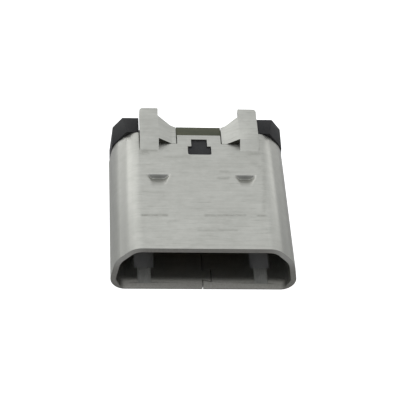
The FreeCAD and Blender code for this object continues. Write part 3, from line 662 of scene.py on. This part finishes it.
def in_a_row(name, mesh, count, spacing, material):
    """Copies of one mesh side by side along X, made by a node tree and turned into a plain mesh."""
    group = bpy.data.node_groups.new(name + "_row", "GeometryNodeTree")
    sockets = group.interface
    sockets.new_socket("Geometry", in_out="INPUT", socket_type="NodeSocketGeometry")
    counted = sockets.new_socket("Count", in_out="INPUT", socket_type="NodeSocketInt").identifier
    spaced = sockets.new_socket("Spacing", in_out="INPUT", socket_type="NodeSocketFloat").identifier
    sockets.new_socket("Geometry", in_out="OUTPUT", socket_type="NodeSocketGeometry")
    given = group.nodes.new("NodeGroupInput")
    made = group.nodes.new("NodeGroupOutput")
    line = group.nodes.new("GeometryNodeMeshLine")
    offset = group.nodes.new("ShaderNodeCombineXYZ")
    start = group.nodes.new("ShaderNodeCombineXYZ")
    gaps = group.nodes.new("ShaderNodeMath")
    gaps.operation = "SUBTRACT"
    gaps.inputs[1].default_value = 1.0
    span = group.nodes.new("ShaderNodeMath")
    span.operation = "MULTIPLY"
    back = group.nodes.new("ShaderNodeMath")
    back.operation = "MULTIPLY"
    back.inputs[1].default_value = -0.5
    put = group.nodes.new("GeometryNodeInstanceOnPoints")
    real = group.nodes.new("GeometryNodeRealizeInstances")
    dress = group.nodes.new("GeometryNodeSetMaterial")
    dress.inputs["Material"].default_value = material
    link = group.links.new
    link(given.outputs["Count"], line.inputs["Count"])
    link(given.outputs["Count"], gaps.inputs[0])
    link(gaps.outputs[0], span.inputs[0])
    link(given.outputs["Spacing"], span.inputs[1])
    link(span.outputs[0], back.inputs[0])
    link(back.outputs[0], start.inputs["X"])
    link(given.outputs["Spacing"], offset.inputs["X"])
    link(start.outputs["Vector"], line.inputs["Start Location"])
    link(offset.outputs["Vector"], line.inputs["Offset"])
    link(line.outputs["Mesh"], put.inputs["Points"])
    link(given.outputs["Geometry"], put.inputs["Instance"])
    link(put.outputs["Instances"], real.inputs["Geometry"])
    link(real.outputs["Geometry"], dress.inputs["Geometry"])
    link(dress.outputs["Geometry"], made.inputs["Geometry"])
    piece = bpy.data.objects.new(name, mesh)
    bpy.context.scene.collection.objects.link(piece)
    row = piece.modifiers.new("row", "NODES")
    row.node_group = group
    row[counted] = count
    row[spaced] = spacing
    edge = piece.modifiers.new("edge_break", "BEVEL")
    edge.width = STRIP_BREAK
    edge.segments = 2
    edge.limit_method = "ANGLE"
    bpy.context.view_layer.update()
    plain = bpy.data.meshes.new_from_object(piece.evaluated_get(bpy.context.evaluated_depsgraph_get()))
    piece.modifiers.clear()
    piece.data = plain
    return piece


outer = in_a_row("power_contacts", contact_strip("power_strip", "contact_1"), 2, 4 * CONTACT_SPACING, gold)
inner = in_a_row("signal_contacts", contact_strip("signal_strip", "contact_2"), 3, CONTACT_SPACING, gold)
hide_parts("contact_1", "contact_5")
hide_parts("contact_2", "contact_3", "contact_4")
for contacts in (outer, inner):
    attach(contacts, "root")

# Retainer. A bar of dull olive-brown plastic that keys into the flange behind the shell, holds the contacts
# down and stops the board; its pad fills the gap between the wings.
BAR_ROUND = 0.02 * MM
OLIVE_DARK = (0.048, 0.053, 0.029)
OLIVE_LIGHT = (0.076, 0.076, 0.044)
olive, tree, shader, place = finish_nodes("olive_moulding")
patch = noise(tree, stretched(tree, place, (0.8, 2.0, 2.0)), detail=3.0, seed=6.0)
pores = noise(tree, stretched(tree, place, (22.0, 22.0, 22.0)), detail=2.0, seed=8.0)
patches = spread(tree, patch, 0.35, 0.65, 0.0, 1.0)
tree.links.new(tinted(tree, patches, OLIVE_DARK, OLIVE_LIGHT), shader.inputs["Base Color"])
tree.links.new(spread(tree, pores, 0.3, 0.7, 0.45, 0.6), shader.inputs["Roughness"])
shader.inputs["Specular IOR Level"].default_value = 0.40
tree.links.new(relief(tree, pores, 0.002), shader.inputs["Normal"])
retainer = finished_piece("retainer_bar", merged("retainer"), BAR_ROUND)
retainer.data.materials.clear()
retainer.data.materials.append(olive)
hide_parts("retainer")
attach(retainer, "root")

# Floor. A plain sheet of white paper under the part, bright enough to show as pure white all round. Right
# under the part a painted shadow makes the paper darker, and there it doesn't glow.
FLOOR_HALF = 0.25
PAPER = (0.62, 0.62, 0.62)
# painted shadow on the paper right under the part
PAPER_PAINTED_SHADOW = (0.42, 0.42, 0.42)
PAPER_GLOW = 0.9
FLOOR_DROP = 0.002 * MM
floor_mesh = bpy.data.meshes.new("floor")
corners = [(FLOOR_HALF * x, FLOOR_HALF * y, 0) for x, y in ((-1, -1), (1, -1), (1, 1), (-1, 1))]
floor_mesh.from_pydata(corners, [], [(0, 1, 2, 3)])
floor = bpy.data.objects.new("floor", floor_mesh)
floor.location.z = -FLOOR_DROP
bpy.context.scene.collection.objects.link(floor)
paper, tree, shader, place = finish_nodes("pale_floor")
shader.inputs["Roughness"].default_value = 0.9
shader.inputs["Specular IOR Level"].default_value = 0.1
shader.inputs["Emission Color"].default_value = (1.0, 1.0, 1.0, 1.0)
axes = tree.nodes.new("ShaderNodeSeparateXYZ")
tree.links.new(place, axes.inputs["Vector"])
beside = spread(tree, maths(tree, "ABSOLUTE", axes.outputs["X"]), 3.05 * MM, 3.25 * MM, 0.0, 1.0)
beyond = spread(tree, maths(tree, "ABSOLUTE", axes.outputs["Y"]), 3.75 * MM, 3.85 * MM, 0.0, 1.0)
open_sheet = maths(tree, "MAXIMUM", beside, beyond)
tree.links.new(tinted(tree, open_sheet, PAPER_PAINTED_SHADOW, PAPER), shader.inputs["Base Color"])
seen = tree.nodes.new("ShaderNodeLightPath").outputs["Is Camera Ray"]
glow = maths(tree, "MULTIPLY", maths(tree, "MULTIPLY", open_sheet, seen), PAPER_GLOW)
tree.links.new(glow, shader.inputs["Emission Strength"])
floor_mesh.materials.append(paper)

# Light. A white tent, brightest overhead and a little brighter on the left, dim and slightly cool over the
# mouth. A broad softbox stands up and behind on the left, and a low one on each side lights the shoulders.
TENT_COOL = (0.955, 0.975, 1.03)
TENT_WHITE = (0.97, 0.985, 1.0)
MOUTH_SIDE = (-0.80, -0.40)
world = bpy.data.worlds.new("studio")
world.use_nodes = True
bpy.context.scene.world = world
tree = world.node_tree
tent = tree.nodes["Background"]
sides = tree.nodes.new("ShaderNodeSeparateXYZ")
tree.links.new(tree.nodes.new("ShaderNodeTexCoord").outputs["Generated"], sides.inputs["Vector"])
off_mouth = spread(tree, sides.outputs["Y"], *MOUTH_SIDE, 0.0, 1.0, smooth=True)
tree.links.new(tinted(tree, off_mouth, TENT_COOL, TENT_WHITE), tent.inputs["Color"])
over_mouth = spread(tree, sides.outputs["Y"], *MOUTH_SIDE, 0.34, 0.86, smooth=True)
to_left = spread(tree, sides.outputs["X"], -0.7, 0.7, 1.18, 0.95)
low_down = spread(tree, sides.outputs["Z"], 0.0, 0.50, 0.82, 1.0, smooth=True)
high_up = spread(tree, sides.outputs["Z"], 0.75, 1.0, 0.96, 1.36, smooth=True)
along_tent = maths(tree, "MULTIPLY", over_mouth, to_left)
up_tent = maths(tree, "MULTIPLY", low_down, high_up)
tree.links.new(maths(tree, "MULTIPLY", along_tent, up_tent), tent.inputs["Strength"])


def softbox(name, place_mm, size_mm, power):
    """A square area light aimed at the middle of the part, its power in watts."""
    lamp = bpy.data.lights.new(name, "AREA")
    lamp.size = size_mm * MM
    lamp.energy = power
    stand = bpy.data.objects.new(name, lamp)
    stand.location = Vector(place_mm) * MM
    aim = Vector((0, 0, 1)) - Vector(place_mm)
    stand.rotation_euler = aim.to_track_quat("-Z", "Y").to_euler()
    bpy.context.scene.collection.objects.link(stand)


softbox("key", (-150, 340, 260), 240, 0.11)
softbox("low_left", (-275, 350, 78), 200, 0.17)
softbox("low_right", (285, 335, 60), 180, 0.12)

# Camera. It looks down on the mouth from the photograph's viewing angle, from a little to the left, and is
# turned slightly about its own axis.
CAMERA_PLACE = Vector((-5.113, -45.000, 45.960)) * MM
CAMERA_RIGHT = Vector((0.996713, -0.049909, 0.063807))
CAMERA_UP = Vector((-0.009960, 0.706187, 0.707955))
CAMERA_BACK = Vector((-0.080393, -0.706264, 0.703369))
lens = bpy.data.cameras.new("camera")
lens.sensor_width = 36.0
lens.lens = 139.248
lens.clip_start = 0.001
lens.clip_end = 10.0
camera = bpy.data.objects.new("camera", lens)
turn = Matrix((CAMERA_RIGHT, CAMERA_UP, CAMERA_BACK)).transposed().to_4x4()
camera.matrix_world = Matrix.Translation(CAMERA_PLACE) @ turn
bpy.context.scene.collection.objects.link(camera)
bpy.context.scene.camera = camera
bpy.context.scene.view_settings.view_transform = "Standard"
